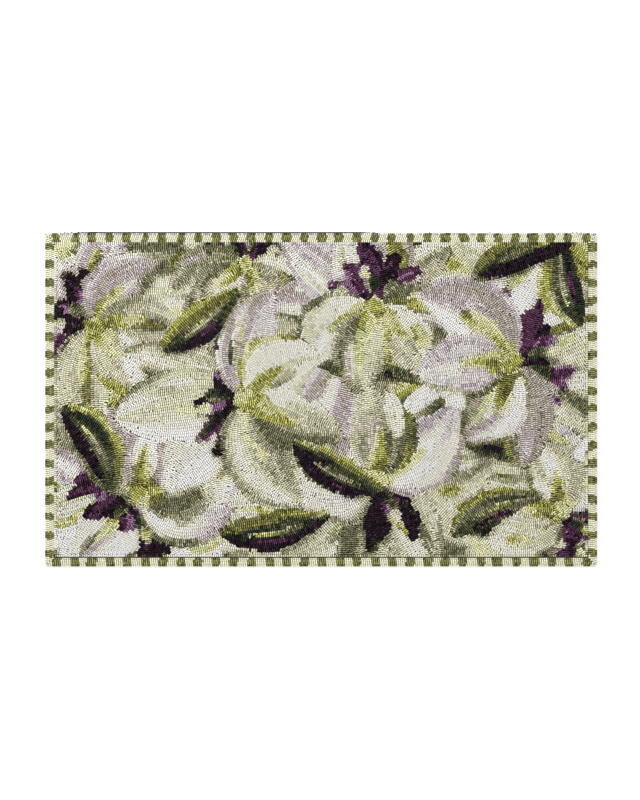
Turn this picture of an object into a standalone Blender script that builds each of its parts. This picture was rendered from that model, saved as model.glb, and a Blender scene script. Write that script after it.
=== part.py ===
"""A flat hooked wool rug, lying on a floor with its pile up.

The pile is one slab: the outer reach of the wool loops and the ground cloth that holds them. Its rim leans
out over a narrow whipped edge, which is sewn round the ground cloth and shows along the far long side.
Metres, +Z up, +X along the rug. The origin is the middle of the underside.
"""

import math
from collections import namedtuple

import bmesh
import bpy

# Size over everything, on the floor
LENGTH = 1.524
DEPTH = 0.923

# The border is a row of blocks, half light and half dark: so many pairs on a long and on a short side
PAIRS_ON_LENGTH = 31
PAIRS_ON_DEPTH = 18
BORDER_WIDTH = 0.0265

# Heights above the floor
FIELD_TOP = 0.0115
BORDER_TOP = 0.0108
VALLEY_FLOOR = 0.0090
RIM_SIDE_LOW = 0.0066
RIM_SIDE_HIGH = 0.0082

# The rim of the pile rounds over from its side to its top
RIM_ROUND = 0.0034
RIM_STEPS = 4
CORNER_RADIUS = 0.009
CORNER_STEPS = 5
INNER_CORNER_RADIUS = 0.002

# The valley between border and field, where the hooked rows turn
VALLEY_HALF_WIDTH = 0.0017

# The whipped edge is a flat rope under the rim
EDGE_WIDTH = 0.0032
EDGE_HEIGHT = 0.0046
EDGE_SHOWS_MOST = 0.0026
EDGE_HIDES_BY = 0.0004
EDGE_ROUND = 0.0010
GAP = 0.0003
RIM_CLEARS_EDGE = 0.0006

# Where the whipped edge shows along the far side: the middle of that stretch and how it fades out
SHOWS_AT_X = -0.275
SHOWS_HALF_STRETCH = 0.36
SHOWS_FADE = 0.10

# The sides of a hand-made rug wander a little: a height and a number of waves round the whole rim
Wave = namedtuple("Wave", "height turns phase")
WANDER = (
    Wave(height=0.00035, turns=7, phase=0.4),
    Wave(height=0.00025, turns=17, phase=2.1),
)

PILE_LENGTH = LENGTH
PILE_DEPTH = DEPTH - EDGE_SHOWS_MOST
PILE_MIDDLE_Y = -EDGE_SHOWS_MOST / 2

WOOL_SAGE = (0.42, 0.40, 0.29, 1.0)
THREAD_VIOLET = (0.045, 0.035, 0.060, 1.0)

# The corners, anticlockwise from the near right one: which way each lies from the middle, in degrees the
# direction in which its arc starts, and into how many lengths the straight side after it is divided
Corner = namedtuple("Corner", "side_x side_y arc_start lengths_after")
CORNERS = (
    Corner(side_x=1, side_y=-1, arc_start=-90, lengths_after=PAIRS_ON_DEPTH),
    Corner(side_x=1, side_y=1, arc_start=0, lengths_after=PAIRS_ON_LENGTH),
    Corner(side_x=-1, side_y=1, arc_start=90, lengths_after=PAIRS_ON_DEPTH),
    Corner(side_x=-1, side_y=-1, arc_start=180, lengths_after=PAIRS_ON_LENGTH),
)

# A place on the rim: the corner it comes after, its share of the way to the next one, and the way out
Station = namedtuple("Station", "corner share out_x out_y wander")


def clear_scene():
    for obj in list(bpy.data.objects):
        bpy.data.objects.remove(obj, do_unlink=True)


def wander_at(turn):
    """How far the rim strays outwards at a share of the way round, never past the rug's full size."""
    total = sum(w.height * math.sin(math.tau * w.turns * turn + w.phase) for w in WANDER)
    return total - sum(w.height for w in WANDER)


def smooth_step(value):
    share = min(max(value, 0.0), 1.0)
    return share * share * (3 - 2 * share)


def edge_shows_at(x, y):
    """How far the whipped edge stands out past the pile: most on a stretch of the far side, else hidden."""
    if y < PILE_MIDDLE_Y + PILE_DEPTH / 2 - CORNER_RADIUS:
        return -EDGE_HIDES_BY
    past_stretch = abs(x - SHOWS_AT_X) - SHOWS_HALF_STRETCH
    share = 1 - smooth_step(past_stretch / SHOWS_FADE)
    return -EDGE_HIDES_BY + share * (EDGE_SHOWS_MOST + EDGE_HIDES_BY)


def rim_stations():
    """Places round the pile's rim, anticlockwise: along each corner's arc and then along the side after it."""
    places = []
    for number, corner in enumerate(CORNERS):
        for step in range(CORNER_STEPS + 1):
            angle = math.radians(corner.arc_start + 90 * step / CORNER_STEPS)
            places.append((number, 0.0, math.cos(angle), math.sin(angle)))
        for step in range(1, corner.lengths_after):
            places.append((number, step / corner.lengths_after, math.cos(angle), math.sin(angle)))
    stations = []
    for number, (corner, share, out_x, out_y) in enumerate(places):
        straightness = abs(abs(out_x) - abs(out_y))
        wander = wander_at(number / len(places)) * straightness
        stations.append(Station(corner, share, out_x, out_y, wander))
    return stations


def arc_radius(inset):
    """The corner radius of an outline that is drawn in by an inset."""
    return max(CORNER_RADIUS - inset, INNER_CORNER_RADIUS)


def arc_middle(corner, inset):
    """The middle of a corner's arc on an outline that is drawn in by an inset."""
    from_edge = inset + arc_radius(inset)
    x = corner.side_x * (PILE_LENGTH / 2 - from_edge)
    y = corner.side_y * (PILE_DEPTH / 2 - from_edge) + PILE_MIDDLE_Y
    return x, y


def point_at(station, inset, height):
    """A station's point on the outline that is drawn in by an inset, at a height."""
    here_x, here_y = arc_middle(CORNERS[station.corner], inset)
    next_x, next_y = arc_middle(CORNERS[(station.corner + 1) % len(CORNERS)], inset)
    reach = arc_radius(inset) + station.wander
    x = here_x + (next_x - here_x) * station.share + reach * station.out_x
    y = here_y + (next_y - here_y) * station.share + reach * station.out_y
    return (x, y, height)


def wool(name, colour, roughness):
    material = bpy.data.materials.new(name)
    material.use_nodes = True
    shader = material.node_tree.nodes["Principled BSDF"]
    shader.inputs["Base Color"].default_value = colour
    shader.inputs["Roughness"].default_value = roughness
    shader.inputs["Metallic"].default_value = 0.0
    return material


def add_object(name, bm, material):
    mesh = bpy.data.meshes.new(name)
    bmesh.ops.recalc_face_normals(bm, faces=bm.faces)
    bm.to_mesh(mesh)
    bm.free()
    mesh.materials.append(material)
    mesh.shade_smooth()
    mesh.set_sharp_from_angle(angle=math.radians(40))
    obj = bpy.data.objects.new(name, mesh)
    bpy.context.scene.collection.objects.link(obj)
    return obj


def join_rings(bm, low, high):
    """A band of four-sided faces between two rings of the same count."""
    for i in range(len(low)):
        j = (i + 1) % len(low)
        bm.faces.new((low[i], low[j], high[j], high[i]))


def pile_section():
    """Rows of (inset, height) from the floor, up the rim, over the border and across the valley."""
    seat = EDGE_WIDTH + EDGE_HIDES_BY + GAP
    rows = [(seat, 0.0), (seat, EDGE_HEIGHT + GAP), (RIM_CLEARS_EDGE, EDGE_HEIGHT + RIM_CLEARS_EDGE)]
    rows += [(0.0, RIM_SIDE_LOW), (0.0, RIM_SIDE_HIGH)]
    rise = BORDER_TOP - RIM_SIDE_HIGH
    for step in range(1, RIM_STEPS + 1):
        angle = math.radians(90 * step / RIM_STEPS)
        rows.append((RIM_ROUND * (1 - math.cos(angle)), RIM_SIDE_HIGH + rise * math.sin(angle)))
    rows.append((BORDER_WIDTH - VALLEY_HALF_WIDTH, BORDER_TOP))
    rows.append((BORDER_WIDTH, VALLEY_FLOOR))
    rows.append((BORDER_WIDTH + VALLEY_HALF_WIDTH, FIELD_TOP))
    return rows


def make_pile(stations):
    """The slab of wool loops on their ground cloth, with its rim, border, valley and flat field."""
    bm = bmesh.new()
    rings = []
    for inset, height in pile_section():
        rings.append([bm.verts.new(point_at(s, inset, height)) for s in stations])
    for low, high in zip(rings, rings[1:]):
        join_rings(bm, low, high)
    bm.faces.new(reversed(rings[0]))
    bm.faces.new(rings[-1])
    return add_object("pile", bm, wool("hooked_wool", WOOL_SAGE, 0.95))


def edge_section(shows):
    """Corners of the whipped edge's own section, as (distance out from the rim, height)."""
    outer = shows
    inner = -(EDGE_WIDTH + EDGE_HIDES_BY)
    return (
        (inner, 0.0),
        (outer - EDGE_ROUND, 0.0),
        (outer, EDGE_ROUND),
        (outer, EDGE_HEIGHT - EDGE_ROUND),
        (outer - EDGE_ROUND, EDGE_HEIGHT),
        (inner, EDGE_HEIGHT),
    )


def make_whipped_edge(stations):
    """The rope of overcast thread round the ground cloth, one closed ring under the pile's rim."""
    bm = bmesh.new()
    hoops = []
    for station in stations:
        rim_x, rim_y, _ = point_at(station, 0.0, 0.0)
        section = edge_section(edge_shows_at(rim_x, rim_y))
        hoops.append([bm.verts.new(point_at(station, -out, height)) for out, height in section])
    for i, hoop in enumerate(hoops):
        join_rings(bm, hoop, hoops[(i + 1) % len(hoops)])
    return add_object("whipped_edge", bm, wool("overcast_thread", THREAD_VIOLET, 0.80))


def main():
    clear_scene()
    stations = rim_stations()
    make_pile(stations)
    make_whipped_edge(stations)


main()
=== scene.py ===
"""The looks of a flat hooked wool rug: its wool loops, the cloth they are hooked through and its edge.

The rug is made here the way it is made by hand. A drawing is laid on the ground cloth, rows of loops are
hooked along its lines until the cloth is full, and thread is whipped round the edge.
"""

import math
import random
from collections import namedtuple

import bpy
import numpy as np
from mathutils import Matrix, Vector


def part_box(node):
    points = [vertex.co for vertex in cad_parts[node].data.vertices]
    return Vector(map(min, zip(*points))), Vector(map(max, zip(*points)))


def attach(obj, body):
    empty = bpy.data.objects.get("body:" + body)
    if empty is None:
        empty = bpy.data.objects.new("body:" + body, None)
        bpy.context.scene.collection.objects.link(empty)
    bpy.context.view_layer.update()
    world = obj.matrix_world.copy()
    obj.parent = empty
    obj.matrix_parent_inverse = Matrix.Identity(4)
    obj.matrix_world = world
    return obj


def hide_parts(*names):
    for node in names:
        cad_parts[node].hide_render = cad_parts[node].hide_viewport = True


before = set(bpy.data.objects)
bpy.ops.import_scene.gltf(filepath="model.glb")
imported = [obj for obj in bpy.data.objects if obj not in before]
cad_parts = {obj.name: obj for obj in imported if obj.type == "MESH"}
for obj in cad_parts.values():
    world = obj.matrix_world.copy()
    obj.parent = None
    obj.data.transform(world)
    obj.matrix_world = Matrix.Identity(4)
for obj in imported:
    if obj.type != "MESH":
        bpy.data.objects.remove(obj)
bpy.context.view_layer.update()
bpy.ops.object.select_all(action="DESELECT")

# Sizes from the frame, in metres
PILE_LOW, PILE_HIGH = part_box("pile")
_, EDGE_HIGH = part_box("whipped_edge")
HALF_X = (PILE_HIGH.x - PILE_LOW.x) / 2
HALF_Y = (PILE_HIGH.y - PILE_LOW.y) / 2
MIDDLE_Y = (PILE_HIGH.y + PILE_LOW.y) / 2
FIELD_TOP = PILE_HIGH.z
EDGE_TOP = EDGE_HIGH.z

# Sizes of the border, repeated from the solids
BORDER_WIDTH = 0.0265
BORDER_TOP = 0.0108
CORNER_RADIUS = 0.009
EDGE_INNER_INSET = 0.0036
EDGE_SHOWS_MOST = 0.0026
EDGE_HIDES_BY = 0.0004
EDGE_SHOWS_AT_X = -0.275
EDGE_SHOWS_HALF_STRETCH = 0.36
EDGE_SHOWS_FADE = 0.10

# The ground cloth
CLOTH_INSET = 0.0034
CLOTH_THICKNESS = 0.0022

# Rows: how far a new one lies from the row beside it, how near it may come to any other, the step in which
# it is laid, the shortest that is hooked at first, and the sharpest turn in a step
ROW_GAP = 0.0065
ROW_NEAR = 0.0051
ROW_STEP = 0.00143
SHORT_ROW = 0.012
SHARPEST_TURN = math.cos(math.radians(38))
BORDER_ROWS = 4
BORDER_ROW_PITCH = 0.0064

# Loops along a row
STEPS_A_LOOP = 4
LOOP_PITCH = ROW_STEP * STEPS_A_LOOP

# The outmost row's loops have this much less reach over the rim, so that the thread shows beside them
RIM_DRAWN_IN = 0.0008

# The valley between border and field lies open along the near side, and a little along the right one. Along
# the other two the loops close over it
NEAR_SLACK = 0.0013
RIGHT_SLACK = 0.0003
OTHER_SLACK = -0.0006

SEED = 7

# Yarns, as the eye sees them: red, green and blue from 0 to 255. Those of the border come last
YARNS = {
    "ivory": (246, 242, 234),
    "cream": (231, 226, 207),
    "oat": (208, 203, 173),
    "lilac_grey": (206, 196, 194),
    "taupe": (168, 159, 148),
    "lavender": (179, 167, 167),
    "pale_lime": (223, 220, 171),
    "celery": (198, 197, 143),
    "lime": (162, 162, 86),
    "olive": (120, 119, 64),
    "sage_light": (182, 178, 152),
    "sage": (150, 147, 119),
    "sage_dark": (108, 107, 79),
    "moss": (72, 76, 50),
    "forest": (42, 48, 35),
    "orchid": (138, 102, 132),
    "plum": (84, 48, 74),
    "aubergine": (36, 20, 32),
    "border_pale": (230, 228, 191),
    "border_green": (124, 124, 76),
}
YARN_NUMBER = {name: number for number, name in enumerate(YARNS)}
FIELD_YARNS = [name for name in YARNS if not name.startswith("border")]


# Soft noise and soft steps


def soft_noise(x, y, seed):
    """Smooth noise between 0 and 1 that swells and sinks about once in each unit of x and y."""
    whole_x, whole_y = np.floor(x).astype(np.int64), np.floor(y).astype(np.int64)
    part_x, part_y = x - whole_x, y - whole_y
    part_x, part_y = part_x * part_x * (3 - 2 * part_x), part_y * part_y * (3 - 2 * part_y)

    def knot(column, row):
        mixed = (column * 374761393 + row * 668265263 + seed * 974634777) & 0xFFFFFFFF
        mixed = ((mixed ^ (mixed >> 13)) * 1274126177) & 0xFFFFFFFF
        return ((mixed ^ (mixed >> 16)) & 0xFFFF) / 0xFFFF

    low = knot(whole_x, whole_y) * (1 - part_x) + knot(whole_x + 1, whole_y) * part_x
    high = knot(whole_x, whole_y + 1) * (1 - part_x) + knot(whole_x + 1, whole_y + 1) * part_x
    return low * (1 - part_y) + high * part_y


def smooth_step(value):
    share = min(max(value, 0.0), 1.0)
    return share * share * (3 - 2 * share)


# The drawing on the ground cloth

# How a shape is filled: its yarns from dark to light, how light it is on the whole, how far its streaks
# part, how many lie across it and along it, how ragged its rim is, and how it lightens to one side and tip
Fill = namedtuple("Fill", "yarns tone contrast across along ragged to_side to_tip")

FILLS = {
    "cream": Fill("sage_light oat cream ivory", 0.64, 0.9, 1.6, 0.8, 0.12, 0.18, 0.12),
    "lilac": Fill("taupe lavender lilac_grey cream ivory", 0.50, 0.95, 1.6, 0.8, 0.12, 0.20, 0.12),
    "sage": Fill("sage_dark sage sage_light oat cream", 0.50, 0.95, 1.6, 0.8, 0.12, 0.22, 0.10),
    "stone": Fill("sage_dark taupe lavender lilac_grey cream", 0.52, 0.95, 1.6, 0.8, 0.12, 0.22, 0.10),
    "mist": Fill("sage_light oat cream ivory", 0.54, 0.9, 1.5, 0.9, 0.14, 0.15, 0.0),
    "straw": Fill("lime celery pale_lime cream", 0.58, 0.9, 1.5, 0.9, 0.14, 0.18, 0.0),
    "shadow": Fill("moss sage_dark sage sage_light", 0.54, 0.9, 1.5, 1.1, 0.14, 0.0, 0.0),
    "lime": Fill("olive lime celery pale_lime", 0.56, 0.9, 1.5, 1.1, 0.16, 0.10, 0.0),
    "glow": Fill("olive lime celery pale_lime", 0.60, 0.9, 1.3, 1.1, 0.22, 0.0, 0.55),
    "green": Fill("moss olive lime celery", 0.46, 0.9, 1.5, 1.0, 0.14, 0.22, 0.0),
    "leaf": Fill("aubergine forest forest moss olive", 0.42, 0.9, 1.6, 1.0, 0.12, 0.42, 0.0),
    "grey_leaf": Fill("forest moss sage_dark sage", 0.40, 0.9, 1.6, 1.0, 0.12, 0.40, 0.0),
    "night": Fill("aubergine aubergine forest plum", 0.40, 1.1, 1.4, 1.6, 0.26, 0.0, 0.0),
    "wine": Fill("aubergine aubergine plum plum", 0.42, 1.1, 1.4, 1.6, 0.26, 0.0, 0.0),
    "violet": Fill("plum plum orchid", 0.50, 0.9, 1.4, 1.4, 0.22, 0.0, 0.0),
    "spark": Fill("ivory", 0.5, 0.0, 1.0, 1.0, 0.10, 0.0, 0.0),
}


def petal_form(along):
    return np.sin(math.pi * np.clip(along, 0, 1) ** 0.8) ** 0.62


def leaf_form(along):
    return np.sin(math.pi * np.clip(along, 0, 1) ** 0.85) ** 0.9


def stroke_form(along):
    return np.sin(math.pi * np.clip(along, 0, 1)) ** 0.45


def flame_form(along):
    return np.clip(1 - along, 0, 1) ** 0.6 * np.clip(along * 12, 0, 1)


def disc_form(along):
    return np.sqrt(np.clip(1 - (2 * along - 1) ** 2, 0, 1))


# A shape's rim: how many rags lie along it, how deep they are, and the room left for them
RAGS_ALONG, RAGS_DEEP = 7, 3.2
ROOM_FOR_RAGS = 1.3

# Its streaks: the shares of broad and of narrow ones, how many more of the narrow ones lie across and along it,
# how strong they are together, and how much single cells stray in tone
BROAD_SHARE, NARROW_SHARE = 0.72, 0.28
NARROW_ACROSS, NARROW_ALONG = 2.3, 2.6
STREAKS_STRONG = 1.5
CELLS_STRAY = 0.035

# Its rows: the share of its length over which its rim's turn is measured, and how steeply they may follow it
TURN_SPAN = 0.02
STEEPEST = 1.2


def bowed_line(start, end, bow, points=14):
    """A line from start to end that bows sideways by a share of its length."""
    start, end = np.array(start), np.array(end)
    middle = (start + end) / 2 + bow * np.array([start[1] - end[1], end[0] - start[0]])
    share = np.linspace(0, 1, points)[:, None]
    return (1 - share) ** 2 * start + 2 * share * (1 - share) * middle + share**2 * end


def reach_out(place, angle, distance):
    return (place[0] + distance * math.cos(angle), place[1] + distance * math.sin(angle))


class Drawing:
    """The ground cloth ruled into small cells: the yarn of each one and the way its rows run."""

    CELL = 0.002

    def __init__(self):
        self.columns = int(2 * HALF_X / self.CELL) + 1
        self.rows = int(2 * HALF_Y / self.CELL) + 1
        self.yarn = np.full((self.rows, self.columns), YARN_NUMBER["sage_light"])
        self.way = np.zeros((self.rows, self.columns, 2))
        self.way[..., 0] = 1.0
        self.chance = np.random.default_rng(SEED)

    def across(self, first, last):
        return (np.arange(first, last) + 0.5) * self.CELL - HALF_X

    def up(self, first, last):
        return (np.arange(first, last) + 0.5) * self.CELL - HALF_Y

    def shape(self, spine, half_width, form, fill_name, seed, lighter=0.0):
        """Fills a shape that lies along a spine. Its streaks run along the spine and turn with its rim."""
        fill = FILLS[fill_name]
        margin = half_width * ROOM_FOR_RAGS
        low = np.floor((spine.min(0) - margin + (HALF_X, HALF_Y)) / self.CELL).astype(int)
        high = np.ceil((spine.max(0) + margin + (HALF_X, HALF_Y)) / self.CELL).astype(int)
        left, bottom = np.maximum(low, 0)
        right, top = np.minimum(high, (self.columns, self.rows))
        if right <= left or top <= bottom:
            return
        x, y = np.meshgrid(self.across(left, right), self.up(bottom, top))
        along, side, way = beside_spine(spine, x.ravel(), y.ravel())
        reach = half_width * form(along)
        rags = soft_noise(along * RAGS_ALONG, np.sign(side) * 3.3 + 9, seed) - 0.5
        rim = 1 + fill.ragged * RAGS_DEEP * rags
        inside = (np.abs(side) < reach * rim) & (reach > half_width * 0.02)
        share = side / np.maximum(reach, 1e-6)
        broad = soft_noise(share * fill.across + 5, along * fill.along + 3, seed + 11)
        narrow_across = share * fill.across * NARROW_ACROSS
        narrow = soft_noise(narrow_across, along * fill.along * NARROW_ALONG, seed + 23)
        streaks = fill.contrast * STREAKS_STRONG * (BROAD_SHARE * broad + NARROW_SHARE * narrow - 0.5)
        mixed = self.chance.normal(0, CELLS_STRAY, x.size)
        light = fill.tone + lighter + streaks + mixed + fill.to_side * share + fill.to_tip * (along - 0.5)
        shades = np.array([YARN_NUMBER[name] for name in fill.yarns.split()])
        yarns = shades[np.clip((light * len(shades)).astype(int), 0, len(shades) - 1)]
        window = np.s_[bottom:top, left:right]
        inside = inside.reshape(x.shape)
        turn = (form(along + TURN_SPAN) - form(along - TURN_SPAN)) / (2 * TURN_SPAN)
        length = np.linalg.norm(np.diff(spine, axis=0), axis=1).sum()
        drift = np.clip(half_width * turn / length, -STEEPEST, STEEPEST) * share
        way = way + drift[:, None] * np.stack((-way[:, 1], way[:, 0]), axis=1)
        way /= np.linalg.norm(way, axis=1)[:, None]
        self.yarn[window][inside] = yarns.reshape(x.shape)[inside]
        self.way[window][inside] = way.reshape(*x.shape, 2)[inside]


def beside_spine(spine, x, y):
    """For points: the share of the way along a spine, the distance to its side and how it runs there."""
    starts, runs = spine[:-1], np.diff(spine, axis=0)
    from_x, from_y = x[:, None] - starts[:, 0], y[:, None] - starts[:, 1]
    share = np.clip((from_x * runs[:, 0] + from_y * runs[:, 1]) / (runs**2).sum(1), 0, 1)
    gap = (from_x - share * runs[:, 0]) ** 2 + (from_y - share * runs[:, 1]) ** 2
    nearest = gap.argmin(1)
    pick = np.arange(len(nearest))
    position = nearest + share[pick, nearest]
    turn = runs[nearest, 0] * from_y[pick, nearest] - runs[nearest, 1] * from_x[pick, nearest]
    side = np.sign(turn) * np.sqrt(gap[pick, nearest])
    tangents = np.gradient(spine, axis=0)
    tangents /= np.linalg.norm(tangents, axis=1)[:, None]
    part = (position - nearest)[:, None]
    way = tangents[nearest] * (1 - part) + tangents[nearest + 1] * part
    return position / len(runs), side, way


# A bloom is seen from one side, so its petals differ: degrees from the way it faces, then length and half
# width as shares of its reach, and how they bow
Petal = namedtuple("Petal", "degrees length half_width bow")

PETALS_BEHIND_HEART = (
    Petal(-72, 0.98, 0.25, 0.20),
    Petal(70, 0.94, 0.26, -0.20),
    Petal(-30, 1.10, 0.28, 0.12),
    Petal(34, 1.06, 0.27, -0.12),
    Petal(2, 0.98, 0.29, 0.05),
)
PETALS_BEFORE_HEART = (
    Petal(-116, 0.86, 0.25, 0.26),
    Petal(114, 0.90, 0.26, -0.26),
    Petal(-156, 0.72, 0.26, 0.22),
    Petal(158, 0.76, 0.27, -0.20),
)

# Where a bloom's middle is, how far its petals reach, the way it faces, and the fills of petals and heart
Bloom = namedtuple("Bloom", "x y reach degrees behind before heart")

BLOOMS = (
    Bloom(-0.21, 0.37, 0.24, 80, "stone", "sage", "night"),
    Bloom(0.66, -0.30, 0.26, -50, "sage", "mist", "wine"),
    Bloom(0.15, 0.25, 0.29, 105, "lilac", "mist", "wine"),
    Bloom(-0.62, 0.20, 0.29, 155, "lilac", "sage", "night"),
    Bloom(-0.50, -0.26, 0.30, 232, "mist", "lilac", "wine"),
    Bloom(0.15, -0.22, 0.31, -62, "sage", "lilac", "night"),
    Bloom(0.52, 0.10, 0.33, 28, "cream", "lilac", "wine"),
    Bloom(-0.20, 0.00, 0.33, 188, "cream", "sage", "night"),
)

# Where a leaf's foot is, the way it grows, its size, how it bows, and the fill of its blade
Leaf = namedtuple("Leaf", "x y degrees length half_width bow fill")

LEAVES_UNDER_BLOOMS = (
    Leaf(-0.42, 0.36, 20, 0.40, 0.054, -0.15, "leaf"),
    Leaf(0.30, 0.06, 100, 0.43, 0.054, -0.20, "leaf"),
    Leaf(-0.06, 0.12, -12, 0.38, 0.052, 0.15, "grey_leaf"),
    Leaf(-0.36, -0.12, 200, 0.45, 0.057, 0.15, "leaf"),
    Leaf(0.34, -0.08, -20, 0.45, 0.054, 0.10, "grey_leaf"),
    Leaf(-0.12, -0.18, -75, 0.38, 0.054, 0.22, "grey_leaf"),
    Leaf(0.36, -0.36, 5, 0.38, 0.052, 0.12, "leaf"),
)
LEAVES_OVER_BLOOMS = (
    Leaf(-0.08, -0.12, -28, 0.29, 0.040, -0.2, "leaf"),
    Leaf(-0.72, -0.02, -60, 0.29, 0.045, 0.2, "leaf"),
    Leaf(-0.28, -0.37, 10, 0.31, 0.042, -0.2, "leaf"),
    Leaf(0.72, 0.20, 100, 0.27, 0.042, 0.2, "grey_leaf"),
    Leaf(-0.44, 0.13, 38, 0.28, 0.042, -0.1, "leaf"),
    Leaf(0.42, 0.33, 20, 0.31, 0.042, 0.14, "leaf"),
    Leaf(0.36, -0.38, 24, 0.27, 0.040, 0.16, "grey_leaf"),
)

GROUND_FILLS = "mist straw sage cream green straw lilac shadow mist sage stone lime".split()
GROUND_STROKES = 110
STROKE_HALF_LENGTHS, STROKE_HALF_WIDTHS = (0.12, 0.24), (0.032, 0.068)
STROKE_BOWS = (-0.22, 0.22)


def draw_ground(drawing, dice):
    """Long broad strokes that sweep between the blooms."""
    for number in range(GROUND_STROKES):
        x, y = dice.uniform(-HALF_X, HALF_X), dice.uniform(-HALF_Y, HALF_Y)
        sweep = float(soft_noise(np.array([x * 2.2 + 7]), np.array([y * 2.6 + 3]), SEED)[0])
        angle = 0.4 + 3.2 * (sweep - 0.5)
        half = dice.uniform(*STROKE_HALF_LENGTHS)
        ends = reach_out((x, y), angle, -half), reach_out((x, y), angle, half)
        spine = bowed_line(*ends, dice.uniform(*STROKE_BOWS))
        fill = GROUND_FILLS[number % len(GROUND_FILLS)]
        drawing.shape(spine, dice.uniform(*STROKE_HALF_WIDTHS), stroke_form, fill, 1000 + number)


def to_the_left(angle):
    return np.array([-math.sin(angle), math.cos(angle)])


def draw_leaf(drawing, leaf, seed):
    """A long leaf: green that shows past one side, a dark blade with a violet streak, and a pale vein."""
    foot, angle = (leaf.x, leaf.y), math.radians(leaf.degrees)
    spine = bowed_line(foot, reach_out(foot, angle, leaf.length), leaf.bow)
    across = leaf.half_width * to_the_left(angle)
    fine = leaf.half_width * 0.17
    drawing.shape(spine + across * 0.30, leaf.half_width * 1.30, leaf_form, "green", seed)
    drawing.shape(spine, leaf.half_width, leaf_form, leaf.fill, seed + 1)
    drawing.shape(spine[3:10] - across * 0.42, fine, stroke_form, "wine", seed + 2, lighter=0.1)
    drawing.shape(spine[3:11] + across * 0.18, fine, stroke_form, "lime", seed + 3)


STROKES_ON_PETALS = "sage stone lilac cream straw lime green shadow spark".split()


def draw_petal(drawing, base, angle, bow, length, half_width, fill, seed, dice):
    """A petal: shade past one side of it, long streaks, loose strokes along it and a glow at its foot."""
    spine = bowed_line(base, reach_out(base, angle, length), bow)
    across = half_width * to_the_left(angle)
    shade = dice.choice(("shadow", "green", "shadow", "stone"))
    drawing.shape(spine + across * dice.choice((-0.16, 0.16)), half_width * 1.02, petal_form, shade, seed)
    drawing.shape(spine, half_width, petal_form, fill, seed + 1, lighter=dice.uniform(-0.18, 0.20))
    for mark in range(dice.choice((1, 2, 2, 3))):
        first = dice.choice((2, 3, 4, 5))
        last = first + dice.choice((5, 6, 7, 8))
        streak = spine[first:last] + across * dice.uniform(-0.6, 0.6)
        kind = dice.choice(STROKES_ON_PETALS)
        drawing.shape(streak, half_width * dice.uniform(0.12, 0.30), stroke_form, kind, seed + 3 + mark)
    lighter = dice.uniform(-0.25, 0.05)
    drawing.shape(spine[:8], half_width * 0.40, flame_form, "glow", seed + 9, lighter)


def draw_bloom(drawing, bloom, seed, dice):
    """An open bloom seen from one side: a dark ragged heart with pale dots between two rings of petals."""
    middle = (bloom.x, bloom.y)
    facing = math.radians(bloom.degrees)
    heart = bloom.reach * 0.54

    def draw_petals(petals, fill, first_seed):
        for number, petal in enumerate(petals):
            angle = facing + math.radians(petal.degrees + dice.uniform(-9, 9))
            kind = fill if number % 3 else dice.choice(("sage", "stone", fill, fill))
            draw_petal(
                drawing,
                reach_out(middle, angle, bloom.reach * 0.04),
                angle,
                petal.bow + dice.uniform(-0.08, 0.08),
                bloom.reach * petal.length * dice.uniform(0.9, 1.12),
                bloom.reach * petal.half_width * dice.uniform(0.88, 1.12),
                kind,
                first_seed + 12 * number,
                dice,
            )

    def draw_around_heart(count, spread, first_seed, kind, length, half_width):
        """Strokes from the middle outwards, on the side that the bloom faces."""
        for number in range(count):
            angle = facing + math.radians(spread * (2 * (number + dice.uniform(0.2, 0.8)) / count - 1))
            start = reach_out(middle, angle, heart * length[0])
            goal = reach_out(middle, angle, heart * dice.uniform(*length[1:]))
            spine = bowed_line(start, goal, dice.uniform(-0.3, 0.3), 8)
            width = heart * dice.uniform(*half_width)
            lighter = dice.uniform(-0.2, 0.2)
            drawing.shape(spine, width, stroke_form, kind, first_seed + number, lighter)

    draw_petals(PETALS_BEHIND_HEART, bloom.behind, seed)
    draw_around_heart(13, 108, seed + 100, bloom.heart, (0.0, 0.55, 1.25), (0.12, 0.24))
    draw_around_heart(3, 80, seed + 120, "violet", (0.35, 0.65, 1.0), (0.09, 0.17))
    draw_around_heart(3, 90, seed + 130, "grey_leaf", (0.30, 0.50, 0.8), (0.08, 0.14))
    draw_around_heart(3, 85, seed + 140, "straw", (0.55, 0.75, 0.9), (0.08, 0.12))
    draw_petals(PETALS_BEFORE_HEART, bloom.before, seed + 200)
    ends = reach_out(middle, facing, -heart * 0.16), reach_out(middle, facing, heart * 0.24)
    drawing.shape(bowed_line(*ends, 0, 6), heart * 0.18, disc_form, "lime", seed + 150)


def make_drawing():
    dice = random.Random(SEED)
    drawing = Drawing()
    draw_ground(drawing, dice)
    for number, leaf in enumerate(LEAVES_UNDER_BLOOMS):
        draw_leaf(drawing, leaf, 300 + 10 * number)
    for number, bloom in enumerate(BLOOMS):
        draw_bloom(drawing, bloom, 2000 + 400 * number, dice)
    for number, leaf in enumerate(LEAVES_OVER_BLOOMS):
        draw_leaf(drawing, leaf, 400 + 10 * number)
    return drawing


# Where shapes meet, yarns of the shades between are hooked: how wide, in cells to each side, how often in a
# metre that grows stronger and weaker, and how far a yarn may stray from the shade that is wished for
BLEND_CELLS = 5
BLEND_SWELLS = 10
BLEND_STRAY = 5.0

# Yarns are compared by tone and, more strictly, by how red or green and how yellow or blue they are
HUES = np.array(((0.33, 0.33, 0.33), (2.4, -2.4, 0.0), (0.6, 0.6, -1.2)))


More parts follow.
